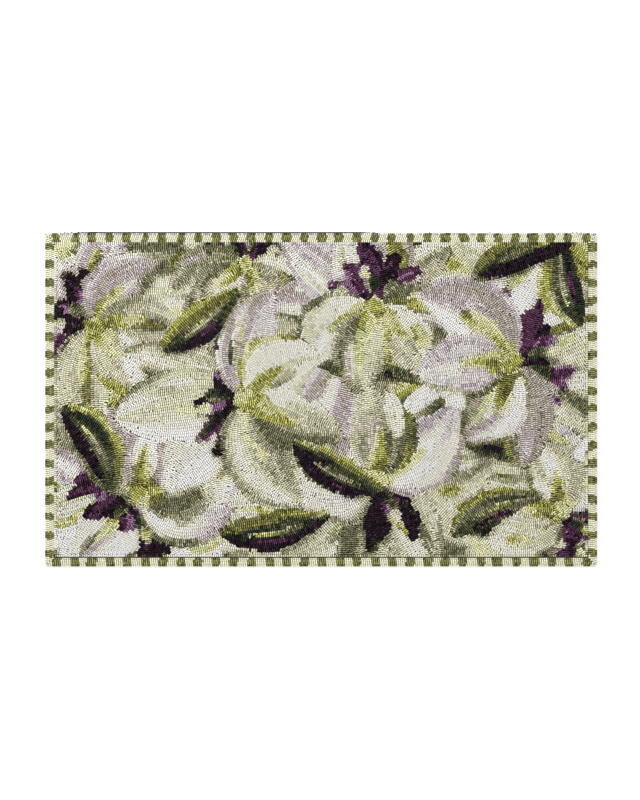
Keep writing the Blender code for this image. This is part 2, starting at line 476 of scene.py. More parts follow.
def blended_yarns(drawing, row, column, chance):
    """The yarns hooked at some cells of the drawing, more blended in some places than in others."""
    shades = np.array([YARNS[name] for name in FIELD_YARNS], float)
    drawn = shades[drawing.yarn]
    around = drawn
    for axis in (0, 1, 0, 1):
        around = sum(np.roll(around, step, axis) for step in range(-BLEND_CELLS, BLEND_CELLS + 1))
        around = around / (2 * BLEND_CELLS + 1)
    x, y = column * drawing.CELL * BLEND_SWELLS, row * drawing.CELL * BLEND_SWELLS
    softness = soft_noise(x, y, SEED + 40)[:, None]
    wished = drawn[row, column] * (1 - softness) + around[row, column] * softness
    wished = wished + chance.normal(0, BLEND_STRAY, (len(row), 1))
    return (((wished[:, None] - shades) @ HUES.T) ** 2).sum(2).argmin(1)


# The hooked rows

# How much of its old way a row keeps at each step, how much it takes from the drawing, and the most steps
KEEPS_OLD_WAY, TAKES_NEW_WAY = 0.55, 0.45
MOST_STEPS = 1200

# How near the border the field's rows run along it
FIRST_ROW_WITHIN = 0.007


class Hooking:
    """Rows hooked side by side along the drawing's lines until the cloth inside the border is full."""

    CELL = 0.001
    PAD = 12

    def __init__(self, drawing):
        self.half_x, self.half_y = HALF_X - BORDER_WIDTH, HALF_Y - BORDER_WIDTH
        self.ways = self.ways_beside_border(drawing)
        self.way_cell = drawing.CELL
        rows = int(2 * HALF_Y / self.CELL) + 1 + 2 * self.PAD
        columns = int(2 * HALF_X / self.CELL) + 1 + 2 * self.PAD
        x = (np.arange(columns) - self.PAD) * self.CELL - HALF_X
        y = (np.arange(rows) - self.PAD) * self.CELL - HALF_Y
        clear = ROW_NEAR / 2
        self.full = (np.abs(x)[None, :] > self.half_x - clear) | (np.abs(y)[:, None] > self.half_y - clear)
        self.owner = np.zeros((rows, columns), np.int32)
        reach = int(ROW_NEAR / self.CELL) + 1
        spread = np.mgrid[-reach : reach + 1, -reach : reach + 1] * self.CELL
        self.near = (spread**2).sum(0) < ROW_NEAR**2
        self.rows = []
        self.first_loops = []

    def ways_beside_border(self, drawing):
        """The drawing's ways, with the first row of the field laid along the border."""
        ways = drawing.way.copy()
        x = np.abs(drawing.across(0, drawing.columns)) > self.half_x - FIRST_ROW_WITHIN
        y = np.abs(drawing.up(0, drawing.rows)) > self.half_y - FIRST_ROW_WITHIN
        ways[:, x] = (0, 1)
        ways[y, :] = (1, 0)
        return ways.tolist()

    def cell_of(self, x, y):
        row = int((y + HALF_Y) / self.CELL + 0.5) + self.PAD
        return row, int((x + HALF_X) / self.CELL + 0.5) + self.PAD

    def place_of(self, row, column):
        return (column - self.PAD) * self.CELL - HALF_X, (row - self.PAD) * self.CELL - HALF_Y

    def way_at(self, x, y):
        return self.ways[int((y + HALF_Y) / self.way_cell)][int((x + HALF_X) / self.way_cell)]

    def walk(self, x, y, sense):
        """Steps along the drawing's ways until cloth that is full, or a sharp turn, ends the row."""
        way_x, way_y = self.way_at(x, y)
        way_x, way_y = way_x * sense, way_y * sense
        points = []
        for _ in range(MOST_STEPS):
            next_x, next_y = x + way_x * ROW_STEP, y + way_y * ROW_STEP
            if self.full[self.cell_of(next_x, next_y)]:
                break
            ahead_x, ahead_y = self.way_at(next_x, next_y)
            agreement = ahead_x * way_x + ahead_y * way_y
            if agreement < 0:
                ahead_x, ahead_y, agreement = -ahead_x, -ahead_y, -agreement
            if agreement < SHARPEST_TURN:
                break
            way_x = KEEPS_OLD_WAY * way_x + TAKES_NEW_WAY * ahead_x
            way_y = KEEPS_OLD_WAY * way_y + TAKES_NEW_WAY * ahead_y
            size = math.hypot(way_x, way_y)
            way_x, way_y = way_x / size, way_y / size
            x, y = next_x, next_y
            points.append((x, y))
        return points

    def hook(self, x, y, shortest):
        """Hooks one row through a free place, with one of its loops there, and keeps other rows off it.

        The new row's number comes back, or None if the place isn't free or the row would be too short.
        """
        if self.full[self.cell_of(x, y)]:
            return None
        way_x, way_y = self.way_at(x, y)
        behind = self.walk(x, y, -1)[::-1]
        points = behind + [(x, y)] + self.walk(x, y, 1)
        if len(points) < 2:
            points.append((x + way_x * ROW_STEP / 2, y + way_y * ROW_STEP / 2))
        if len(points) * ROW_STEP < shortest:
            return None
        self.rows.append(points)
        self.first_loops.append(len(behind) % STEPS_A_LOOP)
        size = len(self.near)
        for x, y in points:
            row, column = self.cell_of(x, y)
            low, left = row - size // 2, column - size // 2
            self.full[low : low + size, left : left + size] |= self.near
            self.owner[row - 1 : row + 2, column - 1 : column + 2] = len(self.rows)
        return len(self.rows) - 1

    def hook_beside(self, waiting):
        """Hooks rows on both sides of those waiting, and then beside the new ones, until none fits.

        A new row starts right beside a loop of the old one, so that their loops lie in line.
        """
        while waiting:
            number = waiting.pop(0)
            row = self.rows[number]
            for place in range(self.first_loops[number], len(row), STEPS_A_LOOP):
                (from_x, from_y), (to_x, to_y) = row[max(place - 2, 0)], row[min(place + 2, len(row) - 1)]
                run_x, run_y = to_x - from_x, to_y - from_y
                size = math.hypot(run_x, run_y)
                x, y = row[place]
                for gap in (ROW_GAP, -ROW_GAP):
                    found = self.hook(x - run_y / size * gap, y + run_x / size * gap, SHORT_ROW)
                    if found is not None:
                        waiting.append(found)

    def fill_cloth(self):
        """Hooks from the four sides inwards, and then what is still free with shorter and shorter rows."""
        across, up = self.half_x - ROW_GAP / 2, self.half_y - ROW_GAP / 2
        starts = ((0, up), (0, -up), (across, 0), (-across, 0))
        self.hook_beside([self.hook(x, y, SHORT_ROW) for x, y in starts])
        for shortest in (SHORT_ROW, LOOP_PITCH, 0):
            for row, column in np.argwhere(~self.full):
                self.hook(*self.place_of(row, column), shortest)


# Loops: where each one is, the way its row runs, half its thickness along the row, its reach to either
# side, its height, and how far it leans from its foot
LOOP_FIELDS = ("x", "y", "way_x", "way_y", "thick", "left", "right", "top", "lean_x", "lean_y")

# How far a row goes on past its last step, the shortest loop at its end, and how far and how often in a
# metre its loops drift along it
ROW_END = 0.0020
SHORTEST_LOOP = 0.0023
LOOP_DRIFT = 0.0010
DRIFTS_A_METRE = 70

# The room to the next row is looked for from far to near, and a loop's reach fills half of it
FARTHEST_ROW, NEAREST_ROW, ROOM_STEP = 0.0100, 0.0022, 0.0004
LEAST_REACH, MOST_REACH = 0.0019, 0.0050

# How uneven the hooking is: where a loop takes its yarn from the drawing, and its height and lean
YARN_STRAYS = 0.0008
LOOPS_VARY = 0.0004


def lengths_along(points):
    """How far it is along a line from its start to each of its points."""
    return np.concatenate(((0,), np.cumsum(np.linalg.norm(np.diff(points, axis=0), axis=1))))


def place_along(points, lengths, distance):
    """The place on a line at a distance, or the places at several, from its start."""
    return np.stack([np.interp(distance, lengths, points[:, axis]) for axis in (0, 1)], axis=-1)


def loops_along(points, first_loop=None):
    """Places of the loops on a row, the way the row runs at each and half the length it fills.

    A row whose first loop isn't given is a closed one.
    """
    points = np.array(points)
    closed = first_loop is None
    if closed:
        points = np.vstack((points, points[:1]))
    else:
        first, last = points[0] - points[1], points[-1] - points[-2]
        points = np.vstack((points[0] + first / np.hypot(*first) * ROW_END, points))
        points = np.vstack((points, points[-1] + last / np.hypot(*last) * ROW_END))
    lengths = lengths_along(points)
    total = lengths[-1]
    if closed:
        bounds = np.linspace(0, total, round(total / LOOP_PITCH) + 1)
    else:
        middle = ROW_END + (first_loop - STEPS_A_LOOP) * ROW_STEP
        bounds = np.arange(middle - LOOP_PITCH / 2, total - SHORTEST_LOOP, LOOP_PITCH)
        bounds = np.concatenate(((0,), bounds[bounds > SHORTEST_LOOP], (total,)))
    own_drift = np.full(len(bounds) - 2, points[0, 1] * 900)
    bounds[1:-1] += LOOP_DRIFT * (soft_noise(bounds[1:-1] * DRIFTS_A_METRE, own_drift, SEED) - 0.5)
    middles = (bounds[1:] + bounds[:-1]) / 2

    def at(distance):
        return place_along(points, lengths, np.mod(distance, total) if closed else distance)

    ways = at(middles + ROW_STEP * 1.5) - at(middles - ROW_STEP * 1.5)
    return at(middles), ways / np.linalg.norm(ways, axis=1)[:, None], np.diff(bounds) / 2


def slack_at(x, y):
    """How much less than its full reach a loop beside the valley has towards it."""
    right = np.where(x > HALF_X - BORDER_WIDTH - ROW_GAP, RIGHT_SLACK, OTHER_SLACK)
    return np.where(y < ROW_GAP + BORDER_WIDTH - HALF_Y, NEAR_SLACK, right)


def room_beside(hooking, places, ways, owners, sense):
    """How far it is from each loop to the next row on one side."""
    room = np.full(len(places), FARTHEST_ROW)
    for distance in np.arange(FARTHEST_ROW, NEAREST_ROW, -ROOM_STEP):
        x = places[:, 0] - ways[:, 1] * distance * sense
        y = places[:, 1] + ways[:, 0] * distance * sense
        column = ((x + HALF_X) / hooking.CELL + 0.5).astype(int) + hooking.PAD
        row = ((y + HALF_Y) / hooking.CELL + 0.5).astype(int) + hooking.PAD
        met = hooking.owner[row, column]
        outside = (np.abs(x) > hooking.half_x) | (np.abs(y) > hooking.half_y)
        room[outside] = (distance - slack_at(x, y)[outside]) * 2
        room[(met != 0) & (met != owners)] = distance + hooking.CELL
    return room


def field_loops(drawing, hooking):
    """Every loop of the field, wide enough to meet the rows beside it, in the drawing's yarn."""
    chance = np.random.default_rng(SEED)
    rows = [loops_along(row, first_loop) for row, first_loop in zip(hooking.rows, hooking.first_loops)]
    places, ways = np.vstack([row[0] for row in rows]), np.vstack([row[1] for row in rows])
    thick = np.concatenate([row[2] for row in rows])
    owners = np.repeat(np.arange(len(rows)) + 1, [len(row[2]) for row in rows])
    count = len(places)
    reaches = [room_beside(hooking, places, ways, owners, sense) / 2 for sense in (1, -1)]
    left, right = np.clip(reaches, LEAST_REACH, MOST_REACH)
    strayed = places + chance.normal(0, YARN_STRAYS, (count, 2))
    column = np.clip(((strayed[:, 0] + HALF_X) / drawing.CELL).astype(int), 0, drawing.columns - 1)
    row = np.clip(((strayed[:, 1] + HALF_Y) / drawing.CELL).astype(int), 0, drawing.rows - 1)
    loops = dict(
        x=places[:, 0], y=places[:, 1], way_x=ways[:, 0], way_y=ways[:, 1],
        thick=thick, left=left, right=right,
        top=FIELD_TOP - np.abs(chance.normal(0, LOOPS_VARY, count)),
        lean_x=chance.normal(0, LOOPS_VARY, count), lean_y=chance.normal(0, LOOPS_VARY, count),
    )
    return loops, blended_yarns(drawing, row, column, chance)


# Blocks of the border: how many dark ones, their pitch and width, and where their middle one is
Blocks = namedtuple("Blocks", "count pitch width middle")
LONG_BLOCKS = Blocks(count=31, pitch=0.0487, width=0.0240, middle=0.002)
SHORT_BLOCKS = Blocks(count=18, pitch=0.0498, width=0.0240, middle=0.0)

# How uneven the blocks are: their places, widths and slants, and how much narrower they are at their ends
BLOCKS_STRAY, BLOCK_WIDTHS_VARY, BLOCKS_SLANT = 0.0014, 0.0011, 0.08
BLOCKS_ROUNDED = 0.40

# The outmost loops lean out over the rim and lie lower, and the inmost ones a little lower than the others
RIM_LEAN = 0.0021
RIM_LOWER, INMOST_LOWER = 0.0004, 0.0002
BORDER_LEANS_VARY = 0.0003

# Share of the pale loops next to the thread on the far side that have taken up some of its violet fluff
FAR_ROW_FUZZED = 0.40

# The tightest corner of a row round the outline
TIGHTEST_CORNER = 0.0008


def outline_points(inset):
    """Points a step apart round the rug's outline, drawn in by an inset, anticlockwise."""
    radius = max(CORNER_RADIUS - inset, TIGHTEST_CORNER)
    across, up = HALF_X - inset - radius, HALF_Y - inset - radius
    corners = ((across, -up, -90), (across, up, 0), (-across, up, 90), (-across, -up, 180))
    points = []
    for number, (x, y, start) in enumerate(corners):
        steps = max(2, round(radius * math.pi / 2 / ROW_STEP))
        for step in range(steps + 1):
            points.append(reach_out((x, y), math.radians(start + 90 * step / steps), radius))
        next_x, next_y, next_start = corners[(number + 1) % len(corners)]
        goal = reach_out((next_x, next_y), math.radians(next_start), radius)
        last_x, last_y = points[-1]
        run_x, run_y = goal[0] - last_x, goal[1] - last_y
        count = round(math.dist(points[-1], goal) / ROW_STEP)
        for step in range(1, count):
            points.append((last_x + run_x * step / count, last_y + run_y * step / count))
    return points


def in_dark_block(along, depth, blocks, chance):
    """Whether loops along a side lie in a dark block. Its corners are rounded, and no two blocks match."""
    middles = (np.arange(blocks.count) - (blocks.count - 1) / 2) * blocks.pitch + blocks.middle
    middles += chance.normal(0, BLOCKS_STRAY, blocks.count)
    halves = blocks.width / 2 + chance.normal(0, BLOCK_WIDTHS_VARY, blocks.count)
    slants = chance.normal(0, BLOCKS_SLANT, blocks.count)
    nearest = np.abs(along[:, None] - middles).argmin(1)
    off = along - middles[nearest] - slants[nearest] * (depth - BORDER_WIDTH / 2)
    rounding = 1 - BLOCKS_ROUNDED * (2 * depth / BORDER_WIDTH - 1) ** 4
    return np.abs(off) < halves[nearest] * rounding


def border_loops():
    """Rows of loops round the field, in light and dark blocks. The outmost row leans over the rim."""
    chance = np.random.default_rng(SEED + 1)
    parts = []
    for number in range(BORDER_ROWS):
        inset = BORDER_ROW_PITCH * (number + 0.5)
        places, ways, thick = loops_along(outline_points(inset))
        count = len(places)
        outmost, inmost = number == 0, number == BORDER_ROWS - 1
        inward, outward = np.full((2, count), BORDER_ROW_PITCH / 2)
        top, lean = BORDER_TOP, 0.0
        if inmost:
            inward -= slack_at(places[:, 0], places[:, 1])
            top -= INMOST_LOWER
        if outmost:
            outward -= RIM_DRAWN_IN
            top -= RIM_LOWER
            lean = RIM_LEAN
        parts.append(dict(
            x=places[:, 0], y=places[:, 1], way_x=ways[:, 0], way_y=ways[:, 1],
            thick=thick, left=inward, right=outward,
            top=top - np.abs(chance.normal(0, LOOPS_VARY, count)),
            lean_x=ways[:, 1] * lean + chance.normal(0, BORDER_LEANS_VARY, count),
            lean_y=-ways[:, 0] * lean + chance.normal(0, BORDER_LEANS_VARY, count),
        ))
    loops = {field: np.concatenate([part[field] for part in parts]) for field in LOOP_FIELDS}
    from_side, from_end = HALF_X - np.abs(loops["x"]), HALF_Y - np.abs(loops["y"])
    dark = np.zeros(len(loops["x"]), bool)
    for axis, other, depth, rival, blocks in (
        ("x", "y", from_end, from_side, LONG_BLOCKS), ("y", "x", from_side, from_end, SHORT_BLOCKS),
    ):
        for sense in (1, -1):
            here = (depth <= rival) & (loops[other] * sense > 0)
            dark[here] = in_dark_block(loops[axis][here], depth[here], blocks, chance)
    yarn = np.where(dark, YARN_NUMBER["border_green"], YARN_NUMBER["border_pale"])
    beside_thread = loops["y"] > HALF_Y - BORDER_ROW_PITCH * 1.2
    fuzzed = ~dark & beside_thread & (chance.random(len(dark)) < FAR_ROW_FUZZED)
    yarn[fuzzed] = YARN_NUMBER["lilac_grey"]
    return loops, yarn


# One loop of wool, modelled once

# Shares of the loop's height, and how much wider or narrower its body, crown and foot are, along and across
BODY_HEIGHT, CROWN_HEIGHT = 0.76, 0.24
BODY_SPREAD, CROWN_SHRINK, FOOT_SPREAD = (1.12, 1.62, 1), (0.40, 0.84, 1), (1.20, 1.25, 1)


def face_outwards(obj):
    """Turns the faces of a closed piece outwards."""
    bpy.ops.object.select_all(action="DESELECT")
    obj.select_set(True)
    bpy.context.view_layer.objects.active = obj
    bpy.ops.object.mode_set(mode="EDIT")
    bpy.ops.mesh.select_all(action="SELECT")
    bpy.ops.mesh.normals_make_consistent(inside=False)
    bpy.ops.object.mode_set(mode="OBJECT")


def select_points(obj, test):
    """Selects, in edit mode, the points that pass a test of their place."""
    bpy.ops.mesh.select_mode(type="VERT")
    bpy.ops.mesh.select_all(action="DESELECT")
    bpy.ops.object.mode_set(mode="OBJECT")
    for point in obj.data.vertices:
        point.select = test(point.co)
    bpy.ops.object.mode_set(mode="EDIT")


def model_loop():
    """A loop one unit wide, thick and high: a spread foot, a full body and a rounded crown."""
    middle = (0, 0, BODY_HEIGHT / 2)
    bpy.ops.mesh.primitive_cylinder_add(vertices=6, radius=1, depth=BODY_HEIGHT, location=middle)
    loop = bpy.context.object
    loop.name = "one_loop"
    bpy.ops.object.transform_apply(location=True, rotation=True, scale=True)
    bpy.ops.object.mode_set(mode="EDIT")
    select_points(loop, lambda place: abs(place.y) < 0.9)
    bpy.ops.transform.resize(value=BODY_SPREAD)
    select_points(loop, lambda place: place.z > 0.5)
    bpy.ops.mesh.extrude_region_move(TRANSFORM_OT_translate={"value": (0, 0, CROWN_HEIGHT)})
    bpy.ops.transform.resize(value=CROWN_SHRINK)
    select_points(loop, lambda place: place.z < 0.1 and abs(place.y) > 0.9)
    bpy.ops.mesh.dissolve_verts()
    select_points(loop, lambda place: place.z < 0.1)
    bpy.ops.transform.resize(value=FOOT_SPREAD)
    bpy.ops.mesh.select_all(action="SELECT")
    bpy.ops.mesh.quads_convert_to_tris()
    bpy.ops.object.mode_set(mode="OBJECT")
    face_outwards(loop)
    return loop


def shape_of(obj):
    """A modelled piece's points and triangles as arrays."""
    points = np.array([tuple(point.co) for point in obj.data.vertices])
    faces = np.array([tuple(face.vertices) for face in obj.data.polygons])
    return points, faces


def joined_mesh(name, points, faces, tones):
    """One piece of many copies of a shape, from all their points, the shape's faces and each copy's tone."""
    copies, size, _ = points.shape
    numbered = faces[None] + (np.arange(copies) * size)[:, None, None]
    mesh = bpy.data.meshes.new(name)
    mesh.from_pydata(points.reshape(-1, 3), [], numbered.reshape(-1, 3))
    mesh.shade_smooth()
    tone = mesh.attributes.new("tone", "FLOAT", "POINT")
    tone.data.foreach_set("value", np.repeat(tones, size).astype(np.float32))
    obj = bpy.data.objects.new(name, mesh)
    bpy.context.scene.collection.objects.link(obj)
    map_from_above(mesh)
    return obj


# The map for the finished colours: the shares of its height for crowns and for sides, how flat a crown's
# face is, how far a side's height moves it across and up, and how much larger the map is than the rug
CROWNS_SHARE, SIDES_SHARE = 0.62, 0.36
CROWN_FLATNESS = 0.25
SIDES_MOVE_ACROSS, SIDES_MOVE_UP = 0.5, 0.8
MAP_MARGIN = 0.03


def map_from_above(mesh):
    """Maps crowns as seen from above, and below them the sides and undersides, seen on a slant."""
    corners = np.zeros(len(mesh.loops), np.int32)
    mesh.loops.foreach_get("vertex_index", corners)
    places = np.zeros(len(mesh.vertices) * 3)
    mesh.vertices.foreach_get("co", places)
    x, y, z = places.reshape(-1, 3)[corners].T
    normals = np.zeros(len(mesh.polygons) * 3)
    mesh.polygons.foreach_get("normal", normals)
    is_side = np.repeat(normals.reshape(-1, 3)[:, 2] < CROWN_FLATNESS, 3)
    span_x, span_y = 2 * HALF_X + MAP_MARGIN, 2 * HALF_Y + MAP_MARGIN
    across = (x + np.where(is_side, z * SIDES_MOVE_ACROSS, 0.0)) / span_x + 0.5
    up = (y - MIDDLE_Y + np.where(is_side, z * SIDES_MOVE_UP, 0.0)) / span_y + 0.5
    up = np.where(is_side, up * SIDES_SHARE, 1 - CROWNS_SHARE + up * CROWNS_SHARE)
    layer = mesh.uv_layers.new(name="OFBake")
    layer.data.foreach_set("uv", np.stack((across, up), axis=1).ravel().astype(np.float32))


# How loops fill their places: how thick they are along the row, how far they go past their reach across it,
# how much they twist, how deep in the cloth they start, and up to which share of their height they lean
THICKNESS = (1.00, 1.08)
OVER_REACH = 1.20
TWIST = 0.10
FOOT_DEPTH = 0.0004
LEANS_UP_TO = 0.6

# How far loops of one yarn differ in tone, where 0 is the darkest and 1 the lightest
TONES_VARY = 0.24


def place_loops(loops, shape):
    """Copies of the modelled loop's points, turned, stretched and leaned into their places in the pile."""
    chance = np.random.default_rng(SEED + 2)
    count = len(loops["x"])
    thick = loops["thick"] * chance.uniform(*THICKNESS, count)
    across, height = shape[None, :, 1], shape[None, :, 2]
    reach = np.where(across > 0, loops["left"][:, None], loops["right"][:, None]) * OVER_REACH
    aside = across * reach
    along = shape[None, :, 0] * thick[:, None] + aside * chance.normal(0, TWIST, count)[:, None]
    foot = CLOTH_THICKNESS - FOOT_DEPTH
    x = loops["x"][:, None] + loops["way_x"][:, None] * along - loops["way_y"][:, None] * aside
    y = loops["y"][:, None] + loops["way_y"][:, None] * along + loops["way_x"][:, None] * aside + MIDDLE_Y
    z = foot + height * (loops["top"][:, None] - foot)
    lean = np.minimum(height / LEANS_UP_TO, 1.0) - 1.0
    x = x + lean * loops["lean_x"][:, None]
    y = y + lean * loops["lean_y"][:, None]
    return np.stack((x, y, z), axis=2)


def hook_rug():
    """All the loops of the rug, one piece for each yarn."""
    drawing = make_drawing()
    hooking = Hooking(drawing)
    hooking.fill_cloth()
    field, field_yarn = field_loops(drawing, hooking)
    border, border_yarn = border_loops()
    loops = {name: np.concatenate((field[name], border[name])) for name in LOOP_FIELDS}
    yarn = np.concatenate((field_yarn, border_yarn))
    model = model_loop()
    shape, faces = shape_of(model)
    bpy.data.objects.remove(model, do_unlink=True)
    points = place_loops(loops, shape)
    tones = np.clip(np.random.default_rng(SEED + 3).normal(0.5, TONES_VARY, len(points)), 0, 1)
    pieces = []
    for number, name in enumerate(YARNS):
        mine = yarn == number
        piece = joined_mesh(f"wool_{name}", points[mine], faces, tones[mine])
        piece.data.materials.append(wool(name))
        pieces.append(piece)
    return pieces


# The ground cloth


def make_ground_cloth():
    """A flat piece of canvas with rounded corners, as thick as its two woven layers."""
    bpy.ops.mesh.primitive_plane_add(size=2, location=(0, MIDDLE_Y, 0))
    cloth = bpy.context.object
    cloth.name = "ground_cloth"
    cloth.scale = (HALF_X - CLOTH_INSET, HALF_Y - CLOTH_INSET, 1)
    bpy.ops.object.transform_apply(location=True, rotation=True, scale=True)
    bpy.ops.object.mode_set(mode="EDIT")
    bpy.ops.mesh.select_all(action="SELECT")
    bpy.ops.mesh.bevel(offset=CORNER_RADIUS - CLOTH_INSET, segments=5, affect="VERTICES")
    bpy.ops.mesh.select_all(action="SELECT")
    bpy.ops.mesh.extrude_region_move(TRANSFORM_OT_translate={"value": (0, 0, CLOTH_THICKNESS)})
    bpy.ops.object.mode_set(mode="OBJECT")
    face_outwards(cloth)
    cloth.data.materials.append(canvas())
    return cloth


# The whipped edge

STITCH_PITCH = 0.0038
STITCH_SLANT = 0.9
THREAD_THICK = 0.0010
THREAD_THINNEST = 0.85
THREAD_BULGE = 0.0008
LOOSE_THREAD = 0.0016

# Half the length of rim over which the way a stitch runs is measured
WAY_SPAN = 0.002

# Tones of the thread, where 0 is the darkest: how far they vary, and how far up they go where it is pale
DARK_TONES, PALE_TONES = 0.12, 0.85

# Where a stitch turns round the rope, seen along it: shares of half the rope's width out and its height up
ROPE_SECTION = ((1, -0.55), (1, 0.55), (0.1, 1), (-1, 0.55), (-1, -0.55), (0.1, -1))

# The corners of the thread: shares of its thickness off the rope, and of half a stitch along the rope
THREAD_SECTION = ((1, -0.80), (1, 0.80), (-1, 1.10), (-1, -1.10))


def edge_shows_at(x, y):
    """How far the whipped edge stands out past the pile: most on a stretch of the far side, else hidden."""
    if y < HALF_Y - CORNER_RADIUS:
        return -EDGE_HIDES_BY
    past_stretch = abs(x - EDGE_SHOWS_AT_X) - EDGE_SHOWS_HALF_STRETCH
    share = 1 - smooth_step(past_stretch / EDGE_SHOWS_FADE)
    return -EDGE_HIDES_BY + share * (EDGE_SHOWS_MOST + THREAD_BULGE + EDGE_HIDES_BY)


def thread_paleness(x, y):
    """How far the uneven dye has paled to lavender: on the far side, past the stretch that shows most."""
    if y < HALF_Y - CORNER_RADIUS:
        return 0.0
    return smooth_step((abs(x - EDGE_SHOWS_AT_X) - EDGE_SHOWS_HALF_STRETCH) / EDGE_SHOWS_FADE + 0.5)


def stitch_points(place, way, shows, thickness):
    """The points of one stitch: flat thread laid once round the rope and slanting to the next stitch."""
    out = np.array([way[1], -way[0]])
    middle_out, half_wide = (shows - EDGE_INNER_INSET) / 2, (shows + EDGE_INNER_INSET) / 2 - thickness
    half_high = EDGE_TOP / 2 - thickness
    points = []
    for turn, (share_out, share_up) in enumerate(ROPE_SECTION):
        size = math.hypot(share_out, share_up)
        slant = (turn / len(ROPE_SECTION) - 0.5) * STITCH_PITCH * STITCH_SLANT
        for off, along in THREAD_SECTION:
            from_middle = share_out * half_wide + off * thickness * share_out / size
            height = EDGE_TOP / 2 + share_up * half_high + off * thickness * share_up / size
            flat = place + out * (middle_out + from_middle) + way * (along * STITCH_PITCH / 2 + slant)
            points.append((flat[0], flat[1] + MIDDLE_Y, height))
    return points


def stitch_faces():
    """The triangles between a stitch's turns, which close on themselves like a ring."""
    faces = []
    turns, sides = len(ROPE_SECTION), len(THREAD_SECTION)
    for turn in range(turns):
        here, there = turn * sides, (turn + 1) % turns * sides
        for side in range(sides):
            beside = (side + 1) % sides
            faces.append((here + side, here + beside, there + beside))
            faces.append((here + side, there + beside, there + side))
    return faces


def make_whipped_edge():
    """Stitches of thread that each go once round the edge of the cloth and on to the next stitch."""
    rim = outline_points(0.0)
    rim = np.array(rim + rim[:1])
    lengths = lengths_along(rim)
    total = lengths[-1]
    count = round(total / STITCH_PITCH)

    def rim_at(distance):
        return place_along(rim, lengths, distance % total)

    chance = np.random.default_rng(SEED + 4)
    stitches, tones = [], []
    for number in range(count):
        middle = (number + 0.5) * total / count
        place = rim_at(middle)
        way = rim_at(middle + WAY_SPAN) - rim_at(middle - WAY_SPAN)
        way /= np.linalg.norm(way)
        paleness = thread_paleness(*place)
        loose = max(0.0, chance.normal(0.4, 0.6)) * LOOSE_THREAD * paleness
        thickness = THREAD_THICK * chance.uniform(THREAD_THINNEST, 1.0)
        stitches.append(stitch_points(place, way, edge_shows_at(*place) + loose, thickness))
        tones.append(DARK_TONES * chance.random() + PALE_TONES * paleness * chance.random())
    edge = joined_mesh("whipped_edge_thread", np.array(stitches), np.array(stitch_faces()), np.array(tones))
    face_outwards(edge)
    edge.data.materials.append(thread())
    return edge


# Materials


class Value:
    """A number or colour on a node's socket, so that shader maths reads as plain sums."""

    def __init__(self, shader, socket):
        self.shader, self.socket = shader, socket

    def worked(self, operation, first, second):
        return self.shader.node("ShaderNodeMath", {"operation": operation}, {0: first, 1: second}, "Value")

    def __add__(self, other):
        return self.worked("ADD", self, other)

    def __sub__(self, other):
        return self.worked("SUBTRACT", self, other)

    def __rsub__(self, other):
        return self.worked("SUBTRACT", other, self)

    def __mul__(self, other):
        return self.worked("MULTIPLY", self, other)

    def __truediv__(self, other):
        return self.worked("DIVIDE", self, other)

    def __rtruediv__(self, other):
        return self.worked("DIVIDE", other, self)

    __radd__, __rmul__ = __add__, __mul__

    def clamped(self):
        return self.shader.node("ShaderNodeClamp", {}, {"Value": self}, "Result")


class Shader:
    """A material with one Principled BSDF, and the one method that adds any other node."""

    def __init__(self, name, roughness, sheen=0.0, scatter=0.0):
        self.material = bpy.data.materials.new(name)
        self.material.use_nodes = True
        self.tree = self.material.node_tree
        self.surface = self.tree.nodes["Principled BSDF"]
        settings = {
            "Roughness": roughness,
            "Sheen Weight": sheen,
            "Sheen Roughness": 0.6,
            "Specular IOR Level": 0.02,
            "Subsurface Weight": scatter,
            "Subsurface Radius": (1.0, 1.0, 1.0),
            "Subsurface Scale": 0.005,
        }
        for socket, value in settings.items():
            self.surface.inputs[socket].default_value = value

    def node(self, kind, settings, sockets, output):
        """Adds a node with its settings and its sockets' values or links. One of its outputs comes back."""
        made = self.tree.nodes.new(kind)
        for name, value in settings.items():
            setattr(made, name, value)
        for name, value in sockets.items():
            self.feed(made.inputs[name], value)
        return Value(self, made.outputs[output])

    def feed(self, socket, value):
        if isinstance(value, Value):
            self.tree.links.new(value.socket, socket)
        else:
            socket.default_value = value

    def mix(self, share, first, second):
        """Two colours mixed by a share. A Mix node's colours are its sockets 6 and 7, and its output 2."""
        return self.node("ShaderNodeMix", {"data_type": "RGBA"}, {0: share, 6: first, 7: second}, 2)

    def place(self):
        return self.node("ShaderNodeTexCoord", {}, {}, "Object")

    def tone(self):
        return self.node("ShaderNodeAttribute", {"attribute_name": "tone"}, {}, "Fac")

    def noise(self, place, scale, detail=2.0, rough=0.5):
        sockets = {"Vector": place, "Scale": scale, "Detail": detail, "Roughness": rough}
        return self.node("ShaderNodeTexNoise", {}, sockets, "Fac")

    def ribs(self, place, direction):
        settings = {"wave_type": "BANDS", "bands_direction": direction, "wave_profile": "SIN"}
        sockets = {"Vector": place, "Scale": 250.0, "Distortion": 0.6}
        return self.node("ShaderNodeTexWave", settings, sockets, "Fac")

    def colour(self, value):
        self.feed(self.surface.inputs["Base Color"], value)

    def bump(self, height, strength, distance):
        sockets = {"Height": height, "Strength": strength, "Distance": distance}
        self.feed(self.surface.inputs["Normal"], self.node("ShaderNodeBump", {}, sockets, "Normal"))


def linear(colour, gain=1.0, lint=0.0):
    """A colour of 0 to 255 as Blender's linear light, made stronger by a gain and greyer by pale lint."""
    shares = [channel / 255 for channel in colour]
    lights = [share / 12.92 if share <= 0.04045 else ((share + 0.055) / 1.055) ** 2.4 for share in shares]
    return (*[min(light * gain + lint, 1.0) for light in lights], 1.0)


# Painted shade low in the pile: how far below the top of the pile it is full, and the height over which it
# fades out up to the crowns
PAINTED_SHADE_DEPTH = 0.0019
PAINTED_SHADE_FADE = 0.0017


